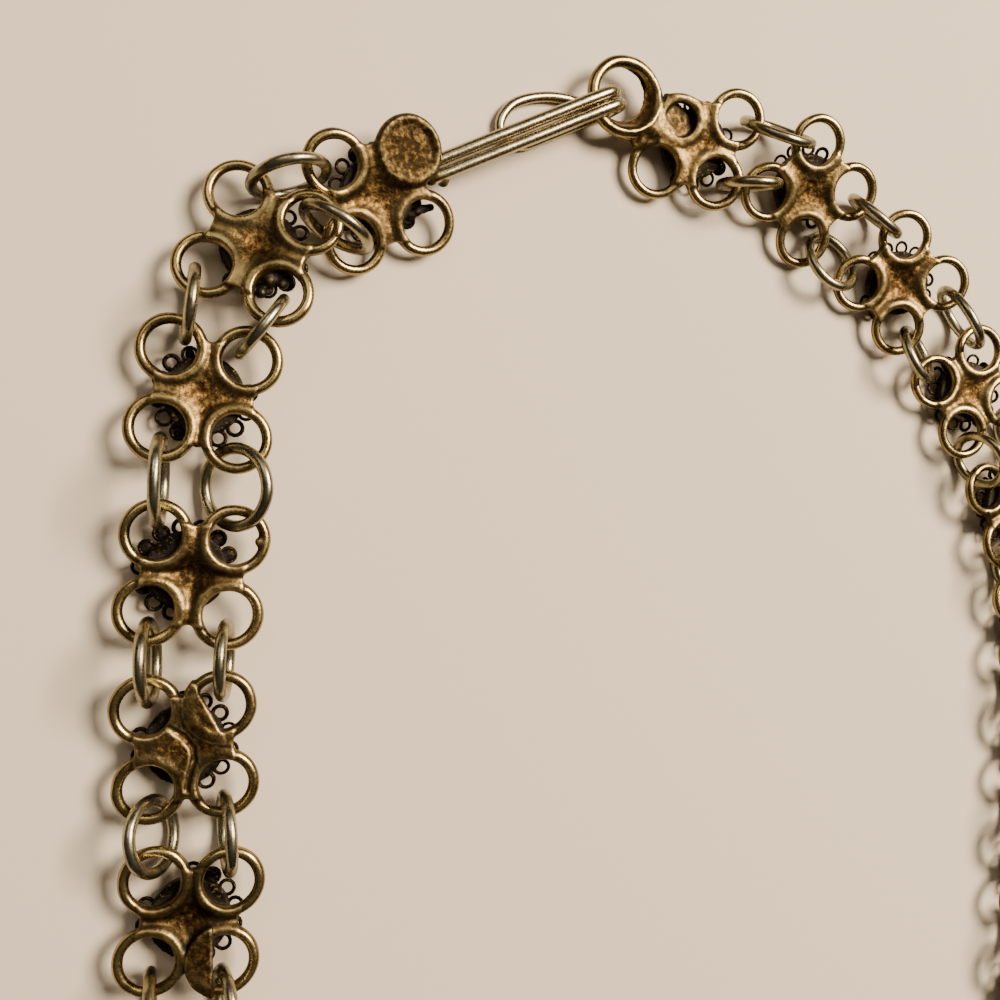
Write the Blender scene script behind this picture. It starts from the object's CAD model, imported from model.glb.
import bpy
import numpy as np
from mathutils import Matrix


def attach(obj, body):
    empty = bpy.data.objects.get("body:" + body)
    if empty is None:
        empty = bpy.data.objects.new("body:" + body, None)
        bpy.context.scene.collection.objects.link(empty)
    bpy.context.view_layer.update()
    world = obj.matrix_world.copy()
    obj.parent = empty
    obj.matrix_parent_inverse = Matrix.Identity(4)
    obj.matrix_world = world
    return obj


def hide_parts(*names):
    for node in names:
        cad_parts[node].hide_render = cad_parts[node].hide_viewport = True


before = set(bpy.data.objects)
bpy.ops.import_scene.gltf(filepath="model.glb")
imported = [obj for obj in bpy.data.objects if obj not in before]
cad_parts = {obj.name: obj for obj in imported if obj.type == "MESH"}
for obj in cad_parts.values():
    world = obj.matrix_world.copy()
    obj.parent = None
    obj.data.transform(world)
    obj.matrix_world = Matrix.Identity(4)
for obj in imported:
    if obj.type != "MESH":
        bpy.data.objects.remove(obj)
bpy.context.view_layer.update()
print("frame loaded")

mm = 0.001

# layout of the loop, in mm
loop = dict(
    links=28,
    middle=(14.87, -33.06, 0),      # middle of the whole outline, taken off every place
    routeHeading=268,
    play=0.3,                       # how much larger than needed a tight jump ring is drawn
    touching=0.6,                   # half the way between two wires that count as touching
    wobbles=((3, 137), (2, 97), (4, 61)),   # degrees at most, phase from link to link
    leanPhase=(151, 70),
    plainLean=6,
    outerMore=0.2,
    jumpRise=0.1,
)
# x, y, heading, tip, roll, lift, long, wide, skew, tuck
firstLinks = [
    (-10.2, 22.2, 199, 0, -14, 0, 5.5, 5.5, 0, 0),
    (-19, 17.8, 247, -3, 15, 0.5, 5.6, 5.2, 0, 0),
    (-22.6, 7.3, 262, -2, 5, 0, 5.5, 5.1, 0, 0),
    (-23.4, -5.1, 265, 2, 4, 0, 5.2, 5.2, 0, 0),
    (-23.9, -16.8, 272, 2, 7, 0, 5.4, 4.9, 0, 0),
    (-23.6, -28.7, 266, 1, 7, 0, 5.4, 4.9, 0, 0),
]
lastLinks = [
    (44.7, 9.8, 123, 2, -8, 0, 5.3, 5.2, 0, 0),
    (36.7, 19, 137, 2, -17, 0.2, 5.4, 5.5, 0, 0),
    (27, 26, 138, -6, -17, 0.3, 5.2, 5.7, 0, 0),
    (16.2, 28.9, 173, 7, -12, 0, 5.1, 5, 0.9, 1),
]
route = [(29, 3), (58, 85), (58.5, 90), (41, 4), (32, 33)]   # length, turn
# joint, side (-1 outer, 1 inner), lean, turn, outside diameter, along, rise
listedJumps = [
    (1, -1, 12, -3, 5.9, 0, 0.05),
    (1, 1, -14, -13, 5.9, 0.4, 0.1),
    (2, -1, 2, 13, 5.7, 0, 0.05),
    (2, 1, 3, -25, 5.7, 0.1, 0.2),
    (3, -1, 10, 0, 6, 0, 0),
    (3, 1, -43, 1, 6.2, -0.15, 0),
    (4, -1, 15, 2, 5.8, 0, 0),
    (4, 1, 15, 0, 5.7, 0, 0),
    (5, -1, 40, 1, 5.6, 0, 0),
    (5, 1, 0, 0, 6, 0, 0),
    (25, -1, -27, 0, 6.2, 0, 0),
    (25, 1, -51, -4, 5.7, 0, 0),
    (26, -1, -30, 0, 5.8, 0, -0.35),
    (26, 1, -64, 4, 5.8, -0.05, 0),
    (27, -1, -30, 0, 6.2, 0, 0),
    (27, 1, -10, 8, 5.5, -0.3, 0.1),
]

link = dict(
    ringOd=4.9, ringWire=0.78, smallRingR=1.7, tuckWay=(-0.25, 1, 0),
    long=5.3, wide=5.15,
    webBottom=-0.55, webPast=0.8,
    webOnRing=(0.2, 0.3),           # the web climbs onto a ring above this height, by this much at most
    plateR=2.75, plateTop=-0.45, plateThick=0.8,
    domeR=2.35, domeFlat=2.3, domeTop=-0.7,
    ringlets=14, ringletOd=1.3, ringletWire=0.26, ringletAt=3.05, ringletZ=-1.1,
    ringletAlong=14, ringletAround=6,
    granules=18, granuleR=0.22, granuleAt=2.4, granuleDeep=0.02,
    dropShare=0.15, dropFlat=2.4, dropLess=0.001,   # an empty ringlet's drop is just smaller than nothing
    grid=0.135, quickGrid=0.2,      # cell of the grid that the surface is drawn from
    leastSlope=0.2,                 # keeps a step onto the surface short where the field is flat
    pits=0.04, pitSize=0.5,         # depth and size of the pits in the solder
    finePits=0.5, fineSize=2.2,     # share of finer pits, and how many times finer they are
    waves=0.07, waveSize=1.2,       # slow rise and fall of the solder
    dents=0.02, dentSize=0.9,       # unevenness of the wire
    roomSide=2.9, roomLow=-2.55, roomHigh=0.85,     # box round the rings' middles that holds a link
    shapeSeed=100, wreathSeed=900, fineSeed=50, dentSeed=90,
)
# width over which two forms run into each other, in mm
soft = dict(fillet=0.3, web=0.1, webTop=0.12, pool=0.15, poolTop=0.1, poolEdge=0.12, lump=0.35, groove=0.12,
            catch=0.15, dome=0.12, granule=0.05, front=0.1, solder=0.4)
# by how much hand work differs from link to link: a spread, or the lowest and the highest value
chance = dict(
    lean=0.02, rise=(-0.03, 0.05), wire=(0.96, 1.02),
    high=(0.25, 0.42), middle=(-0.35, 0.0), bank=(0.7, 1.1), shine=(0.1, 0.7),
    drop=(0.36, 0.46),
    ringletSize=(0.92, 1.03), ringletThick=(0.9, 1.25), ringletTip=0.12, ringletShift=0.03,
)
# what a link's surface has gone through, for its material
age = dict(
    probes=((0.25, 0.3), (0.6, 0.35), (1.3, 0.35)),     # steps out of a hollow, and what each counts
    bendStep=0.12, wearBend=(1.2, 2.4), wearFlat=(0.35, 0.55),     # start and width of a rise
    sideFrom=0.8, sideDirt=0.22, sideSolderDirt=0.15,
    hollowTop=0.15, hollowDeep=0.5, hollowDirt=0.5,
    frontTop=(0.41, 0.03),          # depth below the rings where the front starts, and its width
    showSharp=2.2,                  # how fast the dark back of the plate turns into its gilt show side
    bareReach=0.2, bareDirt=0.25,   # a bare lump of solder lightens the front as far as this round it
    frontPits=0.5, pitDirt=0.16,
    shineReach=0.75,                # how far from the rings a smooth bank stays gold
    ringletDirt=0.35, ringletWear=(0.12, 0.4), hookWear=0.3,
)
# how the solder lies on a link: link, height at the rings, height in the middle, width of the bank
# between them, how gold and smooth the bank is
solderLooks = [
    (1, 0.43, -0.05, 0.85, 0.3), (2, 0.47, -0.08, 1.0, 0.9), (3, 0.28, -0.02, 0.8, 0.2),
    (4, 0.42, -0.42, 0.85, 0.2), (5, 0.46, 0.34, 1.3, 0.3), (6, 0.26, -0.35, 0.7, 0.15),
    (25, 0.36, -0.15, 0.9, 0.4), (26, 0.42, -0.15, 0.95, 0.3), (27, 0.44, 0.0, 1.1, 0.4),
    (28, 0.45, -0.05, 0.9, 0.3),
]
# small lumps of solder: link, along, across, height, radius, and 1 where the lump is bare or 0 where
# it is black
spatter = [
    (1, -2.2, 2.1, -0.9, 0.36, 0), (1, -2.8, 1.9, -0.75, 0.33, 0), (1, -3.35, 1.85, -0.95, 0.34, 0),
    (1, -3.9, 1.85, -0.8, 0.28, 0), (2, 3.0, 1.35, -0.75, 0.42, 1), (2, 1.8, 2.5, -0.75, 0.42, 1),
    (2, 1.9, 1.5, -0.75, 0.6, 1), (4, -2.6, 4.25, 0.1, 0.28, 0),
]
# dark stains: link, along, across, reach, depth of colour
stains = [
    (1, 0.7, 1.6, 0.9, 0.5), (1, -2.87, -2.47, 3.8, 1.1), (2, 2.6, 2.1, 1.2, 0.4), (2, 0.0, 0.6, 0.9, 0.3),
    (3, 0.2, 0.2, 1.2, 0.1), (4, 0.1, 0.1, 1.2, 0.85), (5, 0.4, 0.7, 0.8, 0.4), (5, -2.2, 2.0, 2.0, 0.3),
    (6, -0.3, 0.4, 2.4, 0.8), (6, 2.7, 2.45, 1.6, 0.6), (26, 0.0, 0.0, 1.5, 0.3), (27, 0.0, 0.0, 2.4, 0.7),
    (28, 1.9, -1.5, 1.6, 0.85),
]
# front plates with their ringlets: link, along, across, turn, ringlets lost, ringlets filled with
# solder; the photo shows some of them through the rings, and where it shows none they are lost
wreaths = [
    (1, 0, 0, 0, (), (5, 6, 11)), (2, 0, 0, 8, (8, 9, 11, 12), (1, 2)), (3, 0, 0, 0, (5, 6), (8, 13)),
    (4, -0.2, -0.4, 12, (1, 2), (4, 5, 8, 9, 11)), (5, 0, 0, 0, (8, 9, 12, 13), ()),
    (6, 0, 0, 0, (8, 9, 12, 13), (6,)), (26, 0, 0, 0, (1, 2, 5, 6), ()),
    (27, 0.3, -0.2, 6, (1, 2, 3, 5, 8, 9), ()), (28, 0, 0, 0, (1, 2, 9), (6,)),
]
# rings partly closed by solder: link, lead, side, direction of the open part, distance of its edge;
# then how far that solder reaches past the ring's middle line, and its heights
ringFills = [(5, -1, 1, 116, -0.8), (6, 1, 1, 95, -0.7)]
fill = dict(past=0.5, low=-0.4, high=0.5, lean=-0.02, limit=0.53)
# grooves in the solder: link, height, radius, then points along and across
grooves = [(5, 0.5, 0.24, ((-1.5, -0.9), (-0.8, 0.0), (0.05, 0.55), (0.9, 0.6), (1.7, 0.35), (2.8, 0.1)))]
link["ringR"] = (link["ringOd"] - link["ringWire"]) / 2
jump = dict(od=5.8, wire=0.84, around=14, along=52, dents=0.02, dentSize=1.1,
            seedStep=10, toneStep=5, toneFrom=9)


def degSin(a):
    return np.sin(np.radians(a))


def degCos(a):
    return np.cos(np.radians(a))


def unit(v):
    return v / np.linalg.norm(v)


def turned(heading, tip=0, roll=0):
    # matrix of a turn about Z after a tip about Y after a roll about X
    a, b, c = np.radians([heading, tip, roll])
    turnZ = np.array([[np.cos(a), -np.sin(a), 0], [np.sin(a), np.cos(a), 0], [0, 0, 1]])
    turnY = np.array([[np.cos(b), 0, np.sin(b)], [0, 1, 0], [-np.sin(b), 0, np.cos(b)]])
    turnX = np.array([[1, 0, 0], [0, np.cos(c), -np.sin(c)], [0, np.sin(c), np.cos(c)]])
    return turnZ @ turnY @ turnX


def walk(left):
    # along arcs: x grows by r (sin of the new heading less sin of the old), y by r times the cosines' fall
    x, y = firstLinks[-1][:2]
    heading = loop["routeHeading"]
    for i, (whole, turn) in enumerate(route):
        part = turn * min(left, whole) / whole
        r = whole / np.radians(turn)
        x += r * (degSin(heading + part) - degSin(heading))
        y -= r * (degCos(heading + part) - degCos(heading))
        heading += part
        if left <= whole or i == len(route) - 1:
            return x, y, heading
        left -= whole


def linkRow(k):
    # a listed row, or for the stretch outside the photo a plain one on the route
    if k <= len(firstLinks):
        return firstLinks[k - 1]
    if k > loop["links"] - len(lastLinks):
        return lastLinks[k - 1 - loop["links"] + len(lastLinks)]
    step = sum(p[0] for p in route) / (loop["links"] - len(firstLinks) - len(lastLinks) + 1)
    x, y, heading = walk(step * (k - len(firstLinks)))
    turn, tip, roll = [w[0] * degSin(w[1] * k) for w in loop["wobbles"]]
    return (x, y, heading + turn, tip, roll, 0, link["long"], link["wide"], 0, 0)


def ringSpot(row, lead, side):
    # middle of a ring in its link: lead is 1 towards the next link, side is 1 inside the loop
    tuck = row[9] if lead == 1 and side == -1 else 0
    spot = np.array([lead * row[6] / 2 + side * row[8] / 2, side * row[7] / 2, 0])
    return spot + tuck * np.array(link["tuckWay"])


def ringRadius(row, lead, side):
    return link["smallRingR"] if row[9] > 0 and lead == 1 and side == -1 else link["ringR"]


def linkPlace(k):
    # the ring plane's height: the link rests on its dome or on its lowest ring
    row = linkRow(k)
    turn = turned(*row[2:5])
    up = turn[:, 2]
    edge = np.arccos(link["domeFlat"] / link["domeR"])
    height = link["domeR"] * np.cos(max(0, edge - np.arccos(min(1, up[2]))))
    for lead in (-1, 1):
        for side in (-1, 1):
            low = link["ringR"] * np.sqrt(max(0, 1 - up[2] ** 2)) + link["ringWire"] / 2
            height = max(height, low - (turn @ ringSpot(row, lead, side))[2])
    return row, turn, np.array([row[0], row[1], height + row[5]])


places = {k: linkPlace(k) for k in range(1, loop["links"] + 1)}


def ringMiddle(k, lead, side):
    row, turn, at = places[k]
    return at + turn @ ringSpot(row, lead, side)


def wirePoint(c, n, to):
    # the point nearest to another place on the ring with middle c and normal n
    v = to - c
    return c + link["ringR"] * unit(v - (v @ n) * n)


def jumpPlace(k, side):
    # a ring through the nearest points of the two wires it joins: middle, two directions, radius
    row = [j for j in listedJumps if j[:2] == (k, side)]
    if row:
        lean, turn, od, along, rise = row[0][2:]
    else:
        lean = loop["plainLean"] * degSin(loop["leanPhase"][0] * k + loop["leanPhase"][1] * side)
        turn, od, along, rise = 0, jump["od"] - loop["outerMore"] * side, 0, loop["jumpRise"]
    a, b = ringMiddle(k, 1, side), ringMiddle(k + 1, -1, side)
    pa = wirePoint(a, places[k][1][:, 2], b)
    pb = wirePoint(b, places[k + 1][1][:, 2], a)
    half = np.linalg.norm(pb - pa) / 2
    straight = pa - pb if (b - a) @ (pb - pa) < 0 else pb - pa
    d = turned(turn) @ (unit(b - a) if half < loop["touching"] else unit(straight))
    e = unit(np.array([0, 0, 1]) - d[2] * d)
    g = e * degCos(lean) + np.cross(d, e) * degSin(lean)
    slope = np.sqrt(1 - np.cross(d, g)[2] ** 2)
    mid = (pa + pb) / 2 + d * along
    wires = (jump["wire"] + link["ringWire"]) / 2 + loop["play"]
    r = (od - jump["wire"]) / 2

    def raised(radius):
        return max(0, radius * slope + jump["wire"] / 2 - mid[2]) + rise

    need = np.hypot(half + abs(along), raised(r)) + wires
    if need > r:
        r = np.hypot(half + abs(along), raised(need)) + wires
    return mid + np.array([0, 0, raised(r)]), d, g, r


# noise and grids
noise = dict(seed=7, values=4096, shift=17.31, primes=(73856093, 19349663, 83492791))
noiseTable = np.random.default_rng(noise["seed"]).random(noise["values"])


def valueNoise(p, size, seed):
    # random values on a lattice of the given size, blended by the smooth step of the place between them
    q = p / size + seed * noise["shift"]
    cell = np.floor(q).astype(np.int64)
    f = q - cell
    f = f * f * (3 - 2 * f)
    total = 0
    for corner in np.ndindex(2, 2, 2):
        x, y, z = [(cell[..., i] + corner[i]) * noise["primes"][i] for i in range(3)]
        u, v, w = [np.abs(1 - corner[i] - f[..., i]) for i in range(3)]
        total = total + noiseTable[(x ^ y ^ z) & (noise["values"] - 1)] * (u * v * w)
    return total * 2 - 1


def smoothJoin(a, b, k):
    # the smaller of two fields, with the step between them rounded over the width k
    h = np.clip(0.5 + 0.5 * (b - a) / k, 0, 1)
    return b * (1 - h) + a * h - k * h * (1 - h)


def smoothCut(a, b, k):
    # the larger of two fields, rounded likewise
    return -smoothJoin(-a, -b, k)


def netSurface(field, low, step):
    # surface net: every cell that the surface crosses holds one point, the mean of its edges'
    # crossings, and every crossed grid edge joins the four cells round it
    size = np.array(field.shape) - 1
    total, count = np.zeros((*size, 3)), np.zeros(size)
    corners = np.array([(a, b, c) for a in (0, 1) for b in (0, 1) for c in (0, 1)])
    for i, a in enumerate(corners):
        for b in corners[i + 1:]:
            if np.abs(a - b).sum() != 1:
                continue
            va = field[a[0]:a[0] + size[0], a[1]:a[1] + size[1], a[2]:a[2] + size[2]]
            vb = field[b[0]:b[0] + size[0], b[1]:b[1] + size[1], b[2]:b[2] + size[2]]
            crossed = (va < 0) != (vb < 0)
            t = np.where(crossed, va / np.where(crossed, va - vb, 1), 0)
            total += crossed[..., None] * (a + t[..., None] * (b - a))
            count += crossed
    has = count > 0
    number = np.full(size, -1)
    number[has] = np.arange(has.sum())
    cells = np.argwhere(has)
    points = low + step * (cells + total[has] / count[has][:, None])
    quads = []
    for axis in range(3):
        u, v = [(1, 2), (2, 0), (0, 1)][axis]
        first = np.take(field, range(size[axis]), axis) < 0
        second = np.take(field, range(1, size[axis] + 1), axis) < 0
        spots = np.argwhere(first != second)
        beside = spots[:, [u, v]]
        spots = spots[((beside > 0) & (beside < (size[u], size[v]))).all(1)]
        inward = first[tuple(spots.T)]
        ring = []
        for du, dv in ((-1, -1), (0, -1), (0, 0), (-1, 0)):
            shift = np.zeros(3, int)
            shift[u], shift[v] = du, dv
            ring.append(number[tuple((spots + shift).T)])
        ring = np.stack(ring, 1)
        ring[~inward] = ring[~inward][:, ::-1]
        quads.append(ring)
    return points, np.concatenate(quads)


def circleGrid(along, around):
    # angles along a ring and round its wire, with no double where they close
    return np.meshgrid(np.linspace(0, 2 * np.pi, along, endpoint=False),
                       np.linspace(0, 2 * np.pi, around, endpoint=False), indexing="ij")


def wrapQuads(rows, columns, first=0):
    # quads of a grid that closes both ways
    i, j = np.meshgrid(np.arange(rows), np.arange(columns), indexing="ij")
    i2, j2 = (i + 1) % rows, (j + 1) % columns
    corners = [i * columns + j, i2 * columns + j, i2 * columns + j2, i * columns + j2]
    return first + np.stack(corners, -1).reshape(-1, 4)


def addMesh(name, points, faces, attributes):
    # points in mm, a list of arrays of faces with as many corners each, and values for every point
    mesh = bpy.data.meshes.new(name)
    mesh.vertices.add(len(points))
    mesh.vertices.foreach_set("co", (np.asarray(points) * mm).astype(np.float32).ravel())
    sides = [np.asarray(f) for f in faces if len(f)]
    loops = np.concatenate([f.ravel() for f in sides])
    sizes = np.concatenate([np.full(len(f), f.shape[1]) for f in sides])
    mesh.loops.add(len(loops))
    mesh.loops.foreach_set("vertex_index", loops.astype(np.int32))
    mesh.polygons.add(len(sizes))
    mesh.polygons.foreach_set("loop_start", (np.cumsum(sizes) - sizes).astype(np.int32))
    mesh.polygons.foreach_set("loop_total", sizes.astype(np.int32))
    mesh.update(calc_edges=True)
    mesh.validate()
    mesh.shade_smooth()
    for key, values in attributes.items():
        mesh.attributes.new(key, "FLOAT", "POINT").data.foreach_set("value", np.asarray(values, np.float32))
    obj = bpy.data.objects.new(name, mesh)
    bpy.context.scene.collection.objects.link(obj)
    return obj


# the soldered links
def tubeField(p, centre, normal, major, minor):
    # distance to a ring of wire: across from its middle circle, less the wire's half thickness
    v = p - centre
    h = v @ normal
    across = np.sqrt(np.maximum((v * v).sum(-1) - h * h, 0))
    return np.hypot(across - major, h) - minor


def rodField(p, a, b, r):
    # distance to a straight wire with round ends
    ab = b - a
    t = np.clip(((p - a) @ ab) / (ab @ ab), 0, 1)
    return np.sqrt((((p - a) - t[..., None] * ab) ** 2).sum(-1)) - r


def poolField(p, pool):
    # a disc of solder whose top may bulge, lean or rise from a hole, cut by a straight edge
    v = p - pool["centre"]
    h = v @ pool["normal"]
    flat = v - h[..., None] * pool["normal"]
    out = np.sqrt((flat ** 2).sum(-1))
    crown = pool["high"] + pool.get("bulge", 0) * (1 - (out / pool["r"]) ** 2)
    if "lean" in pool:
        crown = np.minimum(crown + flat @ pool["lean"], pool["limit"])
    field = np.maximum(out - pool["r"], pool["low"] - h)
    if "hole" in pool:
        past = np.sqrt(((flat - pool["hole"]) ** 2).sum(-1)) - pool["holeR"]
        crown = crown + pool["rise"] * past
        field = smoothCut(field, -past, soft["poolTop"])
    field = smoothCut(field, h - crown, soft["poolTop"])
    if "edge" in pool:
        field = smoothCut(field, flat @ pool["edge"][0] - pool["edge"][1], soft["poolEdge"])
    return field


def frontField(p, shape):
    # plate, dome, a circle of granules on the plate's rim and drops of solder in some ringlets; the
    # place is turned into the sector of its nearest granule or ringlet, so that one stands for all
    x, y, z = p[..., 0], p[..., 1], p[..., 2]
    dome = np.maximum(np.sqrt(np.hypot(x, y) ** 2 + z ** 2) - link["domeR"],
                      np.maximum(z - link["domeTop"], -link["domeFlat"] - z))
    dx, dy, turn = shape["wreath"]
    across, way = np.hypot(x - dx, y - dy), np.arctan2(y - dy, x - dx)
    plate = np.maximum(z - link["plateTop"], link["plateTop"] - link["plateThick"] - z)
    plate = np.maximum(across - link["plateR"], plate)
    sector = 2 * np.pi / link["granules"]
    angle = way - sector * np.round(way / sector)
    deep = z - link["plateTop"] + link["plateThick"] + link["granuleDeep"]
    bead = np.sqrt((across * np.cos(angle) - link["granuleAt"]) ** 2
                   + (across * np.sin(angle)) ** 2 + deep ** 2) - link["granuleR"]
    sector = 2 * np.pi / link["ringlets"]
    angle = way - np.radians(turn)
    number = np.round(angle / sector).astype(int)
    angle = angle - sector * number
    deep = link["dropFlat"] * (z - link["ringletZ"])
    drop = np.sqrt((across * np.cos(angle) - link["ringletAt"]) ** 2 + (across * np.sin(angle)) ** 2
                   + deep ** 2) - shape["drops"][number % link["ringlets"]]
    plate = smoothJoin(smoothJoin(plate, dome, soft["dome"]), bead, soft["granule"])
    return np.minimum(plate, drop)


def linkField(p, shape):
    # rings, then the web, whose top falls from the rings to the middle by the product of what every
    # ring leaves hollow, then pools, lumps and grooves of solder, wires of the clasp and the front;
    # the second result says how much of the surface is solder
    row = shape["row"]
    x, y, z = p[..., 0], p[..., 1], p[..., 2]
    rings = past = None
    high, low, bank = shape["solder"]
    hollow = 1.0
    for centre, normal, major, minor in shape["rings"]:
        one = tubeField(p, centre, normal, major, minor)
        out = np.hypot(x - centre[0], y - centre[1]) - major
        rings = one if rings is None else np.minimum(rings, one)
        past = out if past is None else np.minimum(past, out)
        hollow = hollow * (1 - np.exp(-(np.maximum(out, 0) / bank) ** 2))
    top = high + (low - high) * hollow
    top = top + link["waves"] * valueNoise(p * np.array([1, 1, 0]), link["waveSize"], shape["seed"])
    web = np.maximum(np.abs(x) - row[6] / 2 - link["webPast"], np.abs(y) - row[7] / 2 - link["webPast"])
    onRing = np.clip(high - link["webOnRing"][0], 0.0, link["webOnRing"][1])
    web = smoothCut(web, -past - onRing, soft["web"])
    web = smoothCut(web, z - top, soft["webTop"])
    solder = smoothCut(web, link["webBottom"] - z, soft["web"])
    for pool in shape["pools"]:
        solder = smoothJoin(solder, poolField(p, pool), soft["pool"])
    for centre, r in shape["lumps"]:
        solder = smoothJoin(solder, np.sqrt(((p - centre) ** 2).sum(-1)) - r, soft["lump"])
    for a, b, r in shape["grooves"]:
        solder = smoothCut(solder, -rodField(p, a, b, r), soft["groove"])
    for a, b, r in shape["rods"]:
        rings = np.minimum(rings, rodField(p, a, b, r))
    for centre, normal, major, minor in shape["bigRings"]:
        rings = smoothJoin(rings, tubeField(p, centre, normal, major, minor), soft["catch"])
    body = smoothJoin(rings, solder, soft["fillet"])
    share = np.clip(0.5 + 0.5 * (rings - solder) / soft["solder"], 0, 1)
    return smoothJoin(body, frontField(p, shape), soft["front"]), share


def fieldSlope(p, shape):
    # the field's change over a short step along each axis
    h = 0.02
    steps = np.eye(3) * h
    return np.stack([linkField(p + s, shape)[0] - linkField(p - s, shape)[0] for s in steps], -1) / (2 * h)


def ringlets(k, shape):
    # tori round the plate: a small circle carried round a larger one, each a little tipped and uneven
    dice = np.random.default_rng(link["wreathSeed"] + k)
    n = link["ringlets"]
    u, v = circleGrid(link["ringletAlong"], link["ringletAround"])
    size = dice.uniform(*chance["ringletSize"], (n, 1, 1))
    thick = dice.uniform(*chance["ringletThick"], (n, 1, 1))
    tipX, tipY = dice.normal(0, chance["ringletTip"], (2, n, 1, 1))
    r, w = (link["ringletOd"] - link["ringletWire"]) / 2 * size, link["ringletWire"] / 2 * thick
    x = (r + w * np.cos(v)) * np.cos(u)
    y = (r + w * np.cos(v)) * np.sin(u)
    z = w * np.sin(v) + x * tipX + y * tipY + link["ringletZ"]
    x = x + link["ringletAt"] + dice.normal(0, chance["ringletShift"], (n, 1, 1))
    dx, dy, turn = shape["wreath"]
    angle = (2 * np.pi * np.arange(n) / n + np.radians(turn))[:, None, None]
    points = np.stack([x * np.cos(angle) - y * np.sin(angle) + dx,
                       x * np.sin(angle) + y * np.cos(angle) + dy, z], -1)
    kept = np.setdiff1d(np.arange(n), shape["lost"])
    quads = wrapQuads(*u.shape) + np.arange(len(kept))[:, None, None] * u.size
    show = np.tile(np.clip(-age["showSharp"] * np.sin(v).ravel(), 0, 1), len(kept))
    base, more = age["ringletWear"]
    looks = dict(recess=age["ringletDirt"], wear=base + more * show, front=1 - show)
    return points[kept].reshape(-1, 3), [quads.reshape(-1, 4)], looks


def linkShape(k):
    # what the field of a link is made of, in the link's own frame, and the box that holds it
    row = places[k][0]
    dice = np.random.default_rng(link["shapeSeed"] + k)
    rings = []
    for lead in (-1, 1):
        for side in (-1, 1):
            lean = dice.normal(0, chance["lean"], 2)
            normal = unit(np.array([lean[0], lean[1], 1]))
            centre = ringSpot(row, lead, side) + np.array([0, 0, dice.uniform(*chance["rise"])])
            minor = link["ringWire"] / 2 * dice.uniform(*chance["wire"])
            rings.append((centre, normal, ringRadius(row, lead, side), minor))
    looks = [dice.uniform(*chance[key]) for key in ("high", "middle", "bank", "shine")]
    looks = next((listed[1:] for listed in solderLooks if listed[0] == k), looks)
    wreath = next((listed[1:] for listed in wreaths if listed[0] == k), (0, 0, 0, (), None))
    size = dice.uniform(*chance["drop"], link["ringlets"])
    filled = dice.random(link["ringlets"]) < link["dropShare"]
    if wreath[4] is not None:
        filled = np.isin(np.arange(link["ringlets"]), wreath[4])
    reach = np.array([row[6] / 2 + link["roomSide"], row[7] / 2 + link["roomSide"], 0])
    shape = dict(row=row, seed=k, rings=rings, solder=looks[:3], shine=looks[3],
                 wreath=wreath[:3], lost=wreath[3], drops=np.where(filled, size, 0) - link["dropLess"],
                 lumps=[(np.array(lump[1:4]), lump[4]) for lump in spatter if lump[0] == k],
                 pools=[], grooves=[], rods=[], bigRings=[],
                 low=-reach + (0, 0, link["roomLow"]), high=reach + (0, 0, link["roomHigh"]))
    for number, height, r, line in grooves:
        if number == k:
            spots = [np.array([*spot, height]) for spot in line]
            shape["grooves"] += [(a, b, r) for a, b in zip(spots, spots[1:])]
    for number, lead, side, openWay, edge in ringFills:
        if number == k:
            way = np.array([degCos(openWay), degSin(openWay), 0])
            shape["pools"].append(dict(
                centre=ringSpot(row, lead, side), normal=np.array([0, 0, 1.0]),
                r=link["ringR"] + fill["past"], low=fill["low"], high=fill["high"],
                lean=fill["lean"] * way, limit=fill["limit"], edge=(way, edge)))
    return shape


def toLink(k, p):
    # a place of the whole choker in a link's own frame
    return places[k][1].T @ (np.array(p) - places[k][2])


def linkSkin(shape):
    # the surface of a link: points, quads and outward normals
    step = link["grid"]
    axes = [np.arange(a, b + step, step) for a, b in zip(shape["low"], shape["high"])]
    grid = np.stack(np.meshgrid(*axes, indexing="ij"), -1)
    points, quads = netSurface(linkField(grid, shape)[0], shape["low"], step)
    for _ in range(2):      # pull the points onto the surface along the field's slope
        slope = fieldSlope(points, shape)
        value = linkField(points, shape)[0]
        steep = np.maximum((slope ** 2).sum(-1), link["leastSlope"])
        points = points - (value / steep)[:, None] * slope
    slope = fieldSlope(points, shape)
    return points, quads, slope / np.maximum(np.linalg.norm(slope, axis=-1), 1e-6)[:, None]


def ramp(value, start, width):
    return np.clip((value - start) / width, 0, 1)


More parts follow.
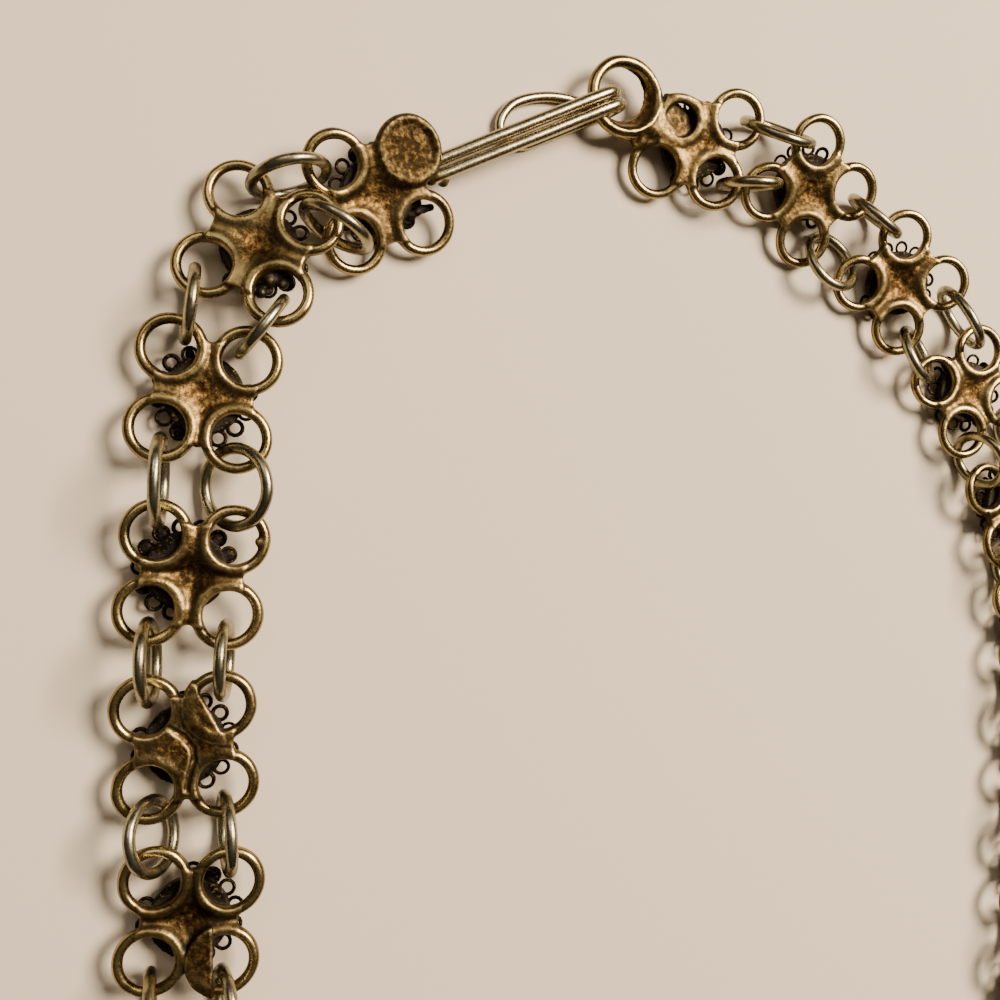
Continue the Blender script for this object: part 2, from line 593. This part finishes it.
def linkAge(k, shape, points, normal):
    # how far pits and dents lift a point, and what the material asks for: how closed in, soldered,
    # stained and rubbed the point is, and how far it belongs to the dark back of the front plate
    value, solder = linkField(points, shape)
    upright, height = np.abs(normal[:, 2]), points[:, 2]
    # how closed in: what the field lacks of the distance walked out from the surface
    recess = sum(w * np.clip((d - linkField(points + normal * d, shape)[0]) / d, 0, 1)
                 for d, w in age["probes"])
    # rubbed where the surface bends outwards and faces up or down: six near values against its own
    h = age["bendStep"]
    near = sum(linkField(points + s * e, shape)[0] for e in np.eye(3) * h for s in (-1, 1))
    bend = near / (h * h) - 6 * value / (h * h)
    wear = ramp(bend, *age["wearBend"]) * ramp(upright, *age["wearFlat"])
    # plate, dome and ringlets are dark where they face up and gilt on the show side, which faces down
    front = ramp(-height, *age["frontTop"])
    show = front * np.clip(-age["showSharp"] * normal[:, 2], 0, 1)
    # the sides keep their tarnish, and so do the hollow of the web and its pits
    dirt = age["sideDirt"] + age["sideSolderDirt"] * solder
    recess = recess + dirt * np.clip(age["sideFrom"] - upright, 0, 1)
    deep = np.clip(age["hollowTop"] - height, 0, age["hollowDeep"])
    recess = recess + age["hollowDirt"] * solder * (1 - show) * deep
    stain = np.zeros(len(points))
    for number, along, across, reach, depth in stains:
        if number == k:
            away = ((points[:, :2] - (along, across)) ** 2).sum(-1)
            stain = np.maximum(stain, depth * np.exp(-away / reach ** 2))
    for number, along, across, up, r, bare in spatter:
        if number == k and bare:
            away = (np.linalg.norm(points - (along, across, up), axis=1) - r) / age["bareReach"]
            front = front * np.clip(away, 0, 1)
            solder = np.maximum(solder, np.clip(1 - away, 0, 1))
            recess = recess + age["bareDirt"] * np.clip(1 - away, 0, 1)
    rough = valueNoise(points, link["pitSize"], k)
    fine = valueNoise(points, link["pitSize"] / link["fineSize"], k + link["fineSeed"])
    rough = rough + link["finePits"] * fine
    dents = valueNoise(points, link["dentSize"], k + link["dentSeed"])
    # a smooth bank of solder beside the rings stays gold and has no pits
    past = np.min([np.hypot(points[:, 0] - centre[0], points[:, 1] - centre[1]) - major
                   for centre, _, major, _ in shape["rings"]], axis=0)
    solder = solder * (1 - shape["shine"] * np.exp(-(np.maximum(past, 0) / age["shineReach"]) ** 2))
    pits = link["pits"] * np.maximum(solder, age["frontPits"] * front) * rough
    recess = recess - age["pitDirt"] * solder * rough
    looks = dict(recess=recess, solder=solder * (1 - show), stain=stain, wear=wear, front=front * (1 - show))
    return pits + link["dents"] * dents, looks


def drawLink(name, k, shape, more=()):
    # body, ringlets and any further parts, each with its points, its arrays of faces and its looks
    points, quads, normal = linkSkin(shape)
    lift, looks = linkAge(k, shape, points, normal)
    parts = [(points + normal * lift[:, None], [quads], looks), ringlets(k, shape), *more]
    counts = [len(points) for points, faces, looks in parts]
    faces = [some + first for part, first in zip(parts, np.cumsum([0, *counts])) for some in part[1]]
    attributes = {key: np.concatenate([np.broadcast_to(looks.get(key, 0.0), len(points))
                                       for points, _, looks in parts])
                  for key in ("recess", "solder", "stain", "wear", "front", "pale")}
    whole = np.concatenate([part[0] for part in parts]) @ places[k][1].T + places[k][2]
    return addMesh(name, whole - np.array(loop["middle"]), faces, attributes)


def smoothPath(rows, steps):
    # curve through the rows: each stretch is the cubic whose slope at a row is half the step past it
    p = np.array(rows, float)
    t = np.arange(steps)[:, None] / steps
    before, after = np.concatenate([p[:1], p[:-2]]), np.concatenate([p[2:], p[-1:]])
    a, b, c, d = [v[:, None, :] for v in (before, p[:-1], p[1:], after)]
    curve = 0.5 * (2 * b + (c - a) * t + (2 * a - 5 * b + 4 * c - d) * t ** 2
                   + (3 * b - a - 3 * c + d) * t ** 3)
    return np.concatenate([curve.reshape(-1, p.shape[1]), p[-1:]])


def sweptWire(path, radius):
    # a circle carried along the path, its side square to the path and to a direction that the path
    # never takes, with a low cone on each end
    tangent = np.gradient(path, axis=0)
    tangent /= np.linalg.norm(tangent, axis=1)[:, None]
    side = np.cross(tangent, clasp["never"])
    side /= np.linalg.norm(side, axis=1)[:, None]
    other = np.cross(tangent, side)
    sides = clasp["sides"]
    a = np.linspace(0, 2 * np.pi, sides, endpoint=False)
    out = side[:, None] * np.cos(a)[:, None] + other[:, None] * np.sin(a)[:, None]
    points = path[:, None] + out * radius[:, None, None]
    dents = clasp["dents"] * valueNoise(points, clasp["dentSize"], clasp["dentSeed"])
    points = points + out * dents[..., None]
    n = len(path)
    i, j = np.meshgrid(np.arange(n - 1), np.arange(sides), indexing="ij")
    j2 = (j + 1) % sides
    corners = [i * sides + j, i * sides + j2, (i + 1) * sides + j2, (i + 1) * sides + j]
    j = np.arange(sides)
    j2 = (j + 1) % sides
    last, tip = (n - 1) * sides, n * sides
    ends = np.concatenate([np.stack([np.full(sides, tip), j2, j], -1),
                           np.stack([np.full(sides, tip + 1), last + j, last + j2], -1)])
    cone = np.array([[-clasp["cone"]], [clasp["cone"]]])
    tips = path[[0, -1]] + tangent[[0, -1]] * cone * radius[0]
    return np.concatenate([points.reshape(-1, 3), tips]), [np.stack(corners, -1).reshape(-1, 4), ends]


# the clasp: the hook in a frame of its own, from its disc towards its bend, the catch ring in the whole's
clasp = dict(
    at=(2.05, 28.3, 0), heading=25.5, wire=0.95, steps=8, sides=20, never=(0, 0.6, 0.8), cone=0.25,
    dents=0.02, dentSize=1.1, dentSeed=3,
    disc=dict(low=-0.3, high=0.42, bulge=-0.1, lean=np.array([0.05, 0.02, 0]), limit=0.46),
    discShift=(-0.12, 0.28, 0), discMore=0.15, discOver=0.1, discRoom=(0.8, 0, 0),
    legs=(-0.53, 0.53), legEnds=((-9.5, 2.2), (-8.6, 2.28)),
    legLumps=((-9.4, 0.0, 2.3, 0.6), (-8.5, -0.85, 1.8, 0.5)),
    catchAt=(9.8, 31.9, 2.2), catchOd=6.6, catchWire=0.95,
    holeAt=(-0.4, 0.4), holeR=2.15,
    cup=dict(low=-0.42, high=-0.36, rise=0.75),
    smallCup=dict(low=-0.5, high=0.02, lean=np.array([0.26, 0.26, 0]), limit=0.42,
                  edge=(np.array([0, -1.0, 0]), 1.1)), smallOver=0.35,
    lumps=((12.3, 29.8, 1.75, 0.95), (11.3, 28.9, 1.65, 0.75), (12.6, 31.1, 1.7, 0.6)),
    catchRoom=((0, 1.4, 0), (6.2, 0, 0.9)),
)
# middle line of the hook wire: along, across, height, thickness as a part of the wire
hookLine = [
    (-9.4, 0.53, 2.2, 1), (-8, 0.53, 2.34, 1), (-5, 0.53, 2.6, 1), (-1, 0.53, 2.9, 1), (3, 0.53, 3.2, 1),
    (5.8, 0.53, 3.42, 1), (6.9, 0.53, 3.25, 1), (7.55, 0.53, 2.65, 1), (7.76, 0.53, 1.98, 1),
    (7.5, 0.54, 1.2, 1), (6.8, 0.6, 0.68, 0.95), (5.7, 0.95, 0.5, 0.88), (4.4, 1.75, 0.48, 0.85),
    (2.9, 2.4, 0.48, 0.85), (1.2, 2.75, 0.48, 0.85), (-0.3, 2.65, 0.48, 0.85), (-1.5, 1.95, 0.48, 0.85),
    (-1.9, 1.0, 0.48, 0.85), (-1.45, 0.0, 0.48, 0.85), (-0.2, -0.52, 0.48, 0.85), (1.8, -0.55, 0.5, 0.85),
    (4.5, -0.54, 0.5, 0.88), (6.2, -0.53, 0.52, 0.95), (7.2, -0.53, 0.85, 1), (7.7, -0.53, 1.55, 1),
    (7.7, -0.53, 2.4, 1), (7.15, -0.53, 3.12, 1), (6.0, -0.53, 3.42, 1), (3, -0.53, 3.2, 1),
    (-1, -0.53, 2.9, 1), (-5, -0.53, 2.6, 1), (-8, -0.53, 2.34, 1), (-9.4, -0.53, 2.2, 1),
]


def claspPoint(along, across, height):
    return np.array(clasp["at"]) + turned(clasp["heading"]) @ np.array([along, across, height])


def hookWire():
    rows = smoothPath(hookLine, clasp["steps"])
    path = np.array([claspPoint(*r[:3]) for r in rows])
    return path, rows[:, 3] * clasp["wire"] / 2


def dressHookLink():
    k = 1
    shape = linkShape(k)
    centre, normal, major, minor = shape["rings"][0]
    centre, major = centre + np.array(clasp["discShift"]), major + clasp["discMore"]
    shape["rings"][0] = (centre, normal, major, minor)
    shape["pools"].append(dict(clasp["disc"], centre=centre, normal=normal, r=major + clasp["discOver"]))
    for across in clasp["legs"]:
        a, b = [toLink(k, claspPoint(along, across, height)) for along, height in clasp["legEnds"]]
        shape["rods"].append((a, b, clasp["wire"] / 2))
    shape["lumps"] += [(toLink(k, claspPoint(*lump[:3])), lump[3]) for lump in clasp["legLumps"]]
    shape["low"] = shape["low"] - clasp["discRoom"]
    points, faces = sweptWire(*hookWire())
    wire = (points - places[k][2]) @ places[k][1], faces, dict(wear=age["hookWear"], pale=1.0)
    return drawLink("hook_link_metal", k, shape, [wire])


def dressCatchLink():
    k = loop["links"]
    shape = linkShape(k)
    back = places[k][1].T       # from the whole choker's directions to the link's
    catch, up = toLink(k, clasp["catchAt"]), back @ np.array([0, 0, 1.0])
    hole = back @ np.array([*clasp["holeAt"], 0])
    major = (clasp["catchOd"] - clasp["catchWire"]) / 2
    small = shape["rings"][2]
    shape["bigRings"].append((catch, up, major, clasp["catchWire"] / 2))
    shape["pools"] = [
        dict(clasp["cup"], centre=catch, normal=up, r=major, hole=hole, holeR=clasp["holeR"]),
        dict(clasp["smallCup"], centre=small[0], normal=small[1], r=small[2] + clasp["smallOver"]),
    ]
    shape["lumps"] += [(toLink(k, lump[:3]), lump[3]) for lump in clasp["lumps"]]
    shape["low"] = shape["low"] - clasp["catchRoom"][0]
    shape["high"] = shape["high"] + clasp["catchRoom"][1]
    return drawLink("catch_link_metal", k, shape)


links = {}
for k in range(1, loop["links"] + 1):
    if k == 1:
        obj, node = dressHookLink(), "hook_link"
    elif k == loop["links"]:
        obj, node = dressCatchLink(), "catch_link"
    else:
        obj, node = drawLink("ring_link_%02d" % k, k, linkShape(k)), "link_%02d" % k
    links[k] = obj
    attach(obj, "root")
    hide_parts(node)
print("links drawn:", sum(len(o.data.polygons) for o in links.values()), "faces")


# the loose jump rings
def jumpWire(k, side):
    # torus: a small circle carried round a larger one that stands in the plane of the two directions
    centre, d, g, r = jumpPlace(k, side)
    u, v = circleGrid(jump["along"], jump["around"])
    out = np.cos(u)[..., None] * d + np.sin(u)[..., None] * g
    way = np.cos(v)[..., None] * out + np.sin(v)[..., None] * np.cross(d, g)
    points = centre + r * out + jump["wire"] / 2 * way
    dents = jump["dents"] * valueNoise(points, jump["dentSize"], jump["seedStep"] * k + side)
    return (points + way * dents[..., None]).reshape(-1, 3)


def drawJumps(name, first, last):
    points, quads, shade = [], [], []
    for k in range(first, last + 1):
        for side in (-1, 1):
            points.append(jumpWire(k, side))
            count = len(points[-1])
            quads.append(wrapQuads(jump["along"], jump["around"], count * len(quads)))
            tone = noiseTable[jump["toneStep"] * k + side + jump["toneFrom"]]   # one for every ring
            shade.append(np.full(count, tone))
    whole = np.concatenate(points) - np.array(loop["middle"])
    return addMesh(name, whole, quads, dict(shade=np.concatenate(shade)))


jumpPieces = []
for name, node, first, last in (("jump_wire_left", "jump_rings_left", 1, 13),
                                ("jump_wire_right", "jump_rings_right", 14, loop["links"] - 1)):
    obj = drawJumps(name, first, last)
    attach(obj, "root")
    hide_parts(node)
    jumpPieces.append(obj)
print("jump rings drawn")


# materials
def linear(hexColour, alpha=1.0):
    values = [int(hexColour[i:i + 2], 16) / 255 for i in (1, 3, 5)]
    return [v / 12.92 if v <= 0.04045 else ((v + 0.055) / 1.055) ** 2.4 for v in values] + [alpha]


def addNode(tree, kind, settings=None, inputs=None, out=0):
    # adds a node: settings name its properties, inputs its sockets, each given a value or another
    # node's output, and out says which of its own outputs comes back; a MapRange has its value in
    # socket 0, then from and to, and a colour Mix has its share in 0 and its colours in 6 and 7
    node = tree.nodes.new("ShaderNode" + kind)
    for key, value in (settings or {}).items():
        setattr(node, key, value)
    for key, value in (inputs or {}).items():
        if isinstance(value, bpy.types.NodeSocket):
            tree.links.new(value, node.inputs[key])
        else:
            node.inputs[key].default_value = value
    return node.outputs[out] if len(node.outputs) else node


def newMaterial(name, look):
    # look fills the tree and gives the shader's inputs
    material = bpy.data.materials.new(name)
    material.use_nodes = True
    tree = material.node_tree
    tree.nodes.clear()
    shader = addNode(tree, "BsdfPrincipled", inputs=look(tree))
    addNode(tree, "OutputMaterial", inputs={0: shader})
    return material


colourMix = dict(data_type="RGBA")
times, plus = dict(operation="MULTIPLY"), dict(operation="ADD")


# Gilt copper alloy, hand soldered and worn: rubbed ridges shine pale gold, the wires are olive gold
# with brown blotches, the solder between them is coppery, pitted and full of small glints, with umber
# stains, and hollows and sides keep dark tarnish. The back of the front plate is black with specks of
# brass, and the hook's wire is paler. Sizes in mm: blotches 1.7, pits 0.4, grit 0.17.
gilt = dict(
    bright="#c8ad72", flat="#8a784e", brown="#5a4a2c", pale="#989078",
    glint="#866838", copper="#5e4626", rust="#3a2614", grime="#1a1209", umber="#20170b",
    front="#14110c", brass="#6e5e3a",
    blotch=1.7, pit=0.4, grit=0.17,
    # a value's lowest and highest end, and what it turns into at each, 0 and 1 unless named
    blotched=(0.4, 0.62), copperPits=(0.42, 0.52), glintPits=(0.54, 0.64), specks=(0.58, 0.68),
    patchy=(0.35, 0.65, 0.9, 0.45), stained=(0.38, 0.62, 1.2, 0.65),
    uneven=(0.35, 0.65, 0.16, -0.12), unevenShare=(0, 1, 0.1, 0.8),
    dirty=(0.15, 0.7), metal=(0.3, 1, 1, 0.7), rough=(0.3, 0.7, 0.2, 0.33), bumpPits=(0, 1, 0.06, 0.6),
    roughSolder=0.16, roughStain=0.15, roughDirt=0.25,
    pitsDeep=0.13, bumpGrit=0.09, gritDeep=0.04,
)


def wornGiltLook(tree):
    place = addNode(tree, "TexCoord", out="Object")
    fineness = {key: 1 / (gilt[key] * mm) for key in ("blotch", "pit", "grit")}
    blotch = addNode(tree, "TexNoise", inputs=dict(Vector=place, Scale=fineness["blotch"], Detail=3))
    pits = dict(Vector=place, Scale=fineness["pit"], Detail=4, Roughness=0.65)
    pits = addNode(tree, "TexNoise", inputs=pits)
    grit = addNode(tree, "TexNoise", inputs=dict(Vector=place, Scale=fineness["grit"], Detail=2))
    names = "recess", "solder", "wear", "front", "pale", "stain"
    recess, solder, wear, front, pale, stain = [
        addNode(tree, "Attribute", dict(attribute_name=a), out="Fac") for a in names]
    blotched = addNode(tree, "MapRange", inputs=dict(enumerate((blotch, *gilt["blotched"]))))
    wire = {0: blotched, 6: linear(gilt["flat"]), 7: linear(gilt["brown"])}
    wire = addNode(tree, "Mix", colourMix, wire, 2)
    wire = addNode(tree, "Mix", colourMix, {0: pale, 6: wire, 7: linear(gilt["pale"])}, 2)
    low = addNode(tree, "MapRange", inputs=dict(enumerate((pits, *gilt["copperPits"]))))
    high = addNode(tree, "MapRange", inputs=dict(enumerate((pits, *gilt["glintPits"]))))
    cast = addNode(tree, "Mix", colourMix, {0: low, 6: linear(gilt["rust"]), 7: linear(gilt["copper"])}, 2)
    cast = addNode(tree, "Mix", colourMix, {0: high, 6: cast, 7: linear(gilt["glint"])}, 2)
    base = addNode(tree, "Mix", colourMix, {0: solder, 6: wire, 7: cast}, 2)
    patchy = addNode(tree, "MapRange", inputs=dict(enumerate((blotch, *gilt["patchy"]))))
    rubbed = addNode(tree, "Math", times, {0: wear, 1: patchy})
    base = addNode(tree, "Mix", colourMix, {0: rubbed, 6: base, 7: linear(gilt["bright"])}, 2)
    stained = addNode(tree, "MapRange", inputs=dict(enumerate((pits, *gilt["stained"]))))
    stained = addNode(tree, "Math", dict(operation="MULTIPLY", use_clamp=True), {0: stain, 1: stained})
    base = addNode(tree, "Mix", colourMix, {0: stained, 6: base, 7: linear(gilt["umber"])}, 2)
    speck = addNode(tree, "MapRange", inputs=dict(enumerate((grit, *gilt["specks"]))))
    hidden = {0: speck, 6: linear(gilt["front"]), 7: linear(gilt["brass"])}
    hidden = addNode(tree, "Mix", colourMix, hidden, 2)
    base = addNode(tree, "Mix", colourMix, {0: front, 6: base, 7: hidden}, 2)
    uneven = addNode(tree, "MapRange", inputs=dict(enumerate((pits, *gilt["uneven"]))))
    share = addNode(tree, "MapRange", inputs=dict(enumerate((solder, *gilt["unevenShare"]))))
    uneven = addNode(tree, "Math", times, {0: uneven, 1: share})
    dirt = addNode(tree, "Math", plus, {0: recess, 1: uneven})
    dirt = addNode(tree, "MapRange", inputs=dict(enumerate((dirt, *gilt["dirty"]))))
    base = addNode(tree, "Mix", colourMix, {0: dirt, 6: base, 7: linear(gilt["grime"])}, 2)
    metal = addNode(tree, "MapRange", inputs=dict(enumerate((dirt, *gilt["metal"]))))
    rough = addNode(tree, "MapRange", inputs=dict(enumerate((grit, *gilt["rough"]))))
    dull = addNode(tree, "Math", dict(operation="MAXIMUM"), {0: dirt, 1: front})
    for share, amount in ((solder, "roughSolder"), (stain, "roughStain"), (dull, "roughDirt")):
        matt = addNode(tree, "Math", times, {0: share, 1: gilt[amount]})
        rough = addNode(tree, "Math", plus, {0: rough, 1: matt})
    strength = addNode(tree, "MapRange", inputs=dict(enumerate((solder, *gilt["bumpPits"]))))
    relief = dict(Height=pits, Strength=strength, Distance=gilt["pitsDeep"] * mm)
    relief = addNode(tree, "Bump", inputs=relief)
    relief = dict(Height=grit, Strength=gilt["bumpGrit"], Distance=gilt["gritDeep"] * mm, Normal=relief)
    relief = addNode(tree, "Bump", inputs=relief)
    return {"Base Color": base, "Metallic": metal, "Roughness": rough, "Normal": relief}


# Drawn wire of a paler alloy: greyer and smoother than the links, dulled in blotches by handling,
# and each ring a little more golden or more grey than the next. Sizes in mm: blotches 2, dark spots
# 0.6, scratches 0.15.
greyGilt = dict(
    silver="#a9a38b", gold="#968965", dull="#736c54", dark="#3a3426",
    blotch=2.0, spot=0.6, scratch=0.15,
    dulled=(0.4, 0.65, 0, 0.85), spotted=(0.5, 0.75, 0, 0.5), rough=(0.3, 0.7, 0.22, 0.35),
    bumpSpots=0.15, spotsDeep=0.08, bumpScratches=0.12, scratchesDeep=0.04,
)


def greyWireLook(tree):
    place = addNode(tree, "TexCoord", out="Object")
    blotch, spots, fine = [
        addNode(tree, "TexNoise", inputs=dict(Vector=place, Scale=1 / (greyGilt[key] * mm), Detail=detail))
        for key, detail in (("blotch", 3), ("spot", 4), ("scratch", 2))]
    shade = addNode(tree, "Attribute", dict(attribute_name="shade"), out="Fac")
    base = {0: shade, 6: linear(greyGilt["silver"]), 7: linear(greyGilt["gold"])}
    base = addNode(tree, "Mix", colourMix, base, 2)
    dulled = addNode(tree, "MapRange", inputs=dict(enumerate((blotch, *greyGilt["dulled"]))))
    base = addNode(tree, "Mix", colourMix, {0: dulled, 6: base, 7: linear(greyGilt["dull"])}, 2)
    spotted = addNode(tree, "MapRange", inputs=dict(enumerate((spots, *greyGilt["spotted"]))))
    base = addNode(tree, "Mix", colourMix, {0: spotted, 6: base, 7: linear(greyGilt["dark"])}, 2)
    rough = addNode(tree, "MapRange", inputs=dict(enumerate((spots, *greyGilt["rough"]))))
    relief = dict(Height=spots, Strength=greyGilt["bumpSpots"], Distance=greyGilt["spotsDeep"] * mm)
    relief = addNode(tree, "Bump", inputs=relief)
    relief = dict(Height=fine, Strength=greyGilt["bumpScratches"], Distance=greyGilt["scratchesDeep"] * mm,
                  Normal=relief)
    relief = addNode(tree, "Bump", inputs=relief)
    return {"Base Color": base, "Metallic": 1.0, "Roughness": rough, "Normal": relief}


wornGilt = newMaterial("worn gilt copper alloy", wornGiltLook)
greyWire = newMaterial("grey gilt wire", greyWireLook)
for obj in links.values():
    obj.data.materials.append(wornGilt)
for obj in jumpPieces:
    obj.data.materials.append(greyWire)
print("materials made")

# floor, light and camera, in metres
studio = dict(
    floor="#cfc1aa", floorSize=2.0, floorRough=0.9,
    sky=0.27, skyHigh="#b9b2a8", skyLow="#1d1a16", skyRise=(0.15, 0.9),     # dark below, pale above
    lens=39.37, sensor=36, clipStart=0.005,
    eye=(-30.48, 0.149, 79.57),     # in mm of the layout, as in the photo
    forward=(0.35771, -0.00174, -0.93383), right=(0.93383, 0.0, 0.35771),
)
# name, place, what it shines at, side of its square, watts, colour
lamps = [
    ("window", (0.27, 0.2, 0.45), (0, 0.02, 0), 0.24, 9.5, "#ffefdb"),
    ("fill", (-0.2, 0.35, 0.5), (0, 0, 0), 0.3, 0.7, "#fff4e8"),
]

floorMesh = bpy.data.meshes.new("floor")
half = studio["floorSize"] / 2
corners = [(-half, -half, 0), (half, -half, 0), (half, half, 0), (-half, half, 0)]
floorMesh.from_pydata(corners, [], [(0, 1, 2, 3)])
floor = bpy.data.objects.new("floor", floorMesh)
bpy.context.scene.collection.objects.link(floor)
# Matt paper in place of the cloth: pale and warm, with no shine of its own.
paper = {"Base Color": linear(studio["floor"]), "Roughness": studio["floorRough"]}
floorMesh.materials.append(newMaterial("matt pale paper", lambda tree: paper))

# the sky is dark at the horizon and pale overhead, so that wires have dark sides
world = bpy.data.worlds.new("studio")
world.use_nodes = True
sky = world.node_tree
way = addNode(sky, "TexCoord", out="Generated")
height = addNode(sky, "SeparateXYZ", inputs={0: way}, out=2)
rise = addNode(sky, "MapRange", inputs=dict(enumerate((height, *studio["skyRise"]))))
shade = {0: rise, 6: linear(studio["skyLow"]), 7: linear(studio["skyHigh"])}
shade = addNode(sky, "Mix", colourMix, shade, 2)
sky.links.new(shade, sky.nodes["Background"].inputs[0])
sky.nodes["Background"].inputs[1].default_value = studio["sky"]
bpy.context.scene.world = world


def setPlace(obj, x, y, z, at):
    # turns an object's axes to three directions and puts it at a place
    columns = np.column_stack([x, y, z, at])
    obj.matrix_world = Matrix(np.vstack([columns, [0, 0, 0, 1]]).tolist())
    bpy.context.scene.collection.objects.link(obj)


for name, at, to, size, power, colour in lamps:
    data = bpy.data.lights.new(name, "AREA")
    data.size, data.energy, data.color = size, power, linear(colour)[:3]
    back = unit(np.array(at) - np.array(to))
    side = unit(np.cross([0, 1, 0], back))
    setPlace(bpy.data.objects.new(name, data), side, np.cross(back, side), back, at)

camera = bpy.data.objects.new("camera", bpy.data.cameras.new("camera"))
camera.data.lens = studio["lens"]
camera.data.sensor_width = studio["sensor"]
camera.data.clip_start = studio["clipStart"]
forward, right = np.array(studio["forward"]), np.array(studio["right"])
eye = np.array(studio["eye"]) - np.array(loop["middle"])
setPlace(camera, right, np.cross(right, forward), -forward, eye * mm)
bpy.context.scene.camera = camera
print("studio set")
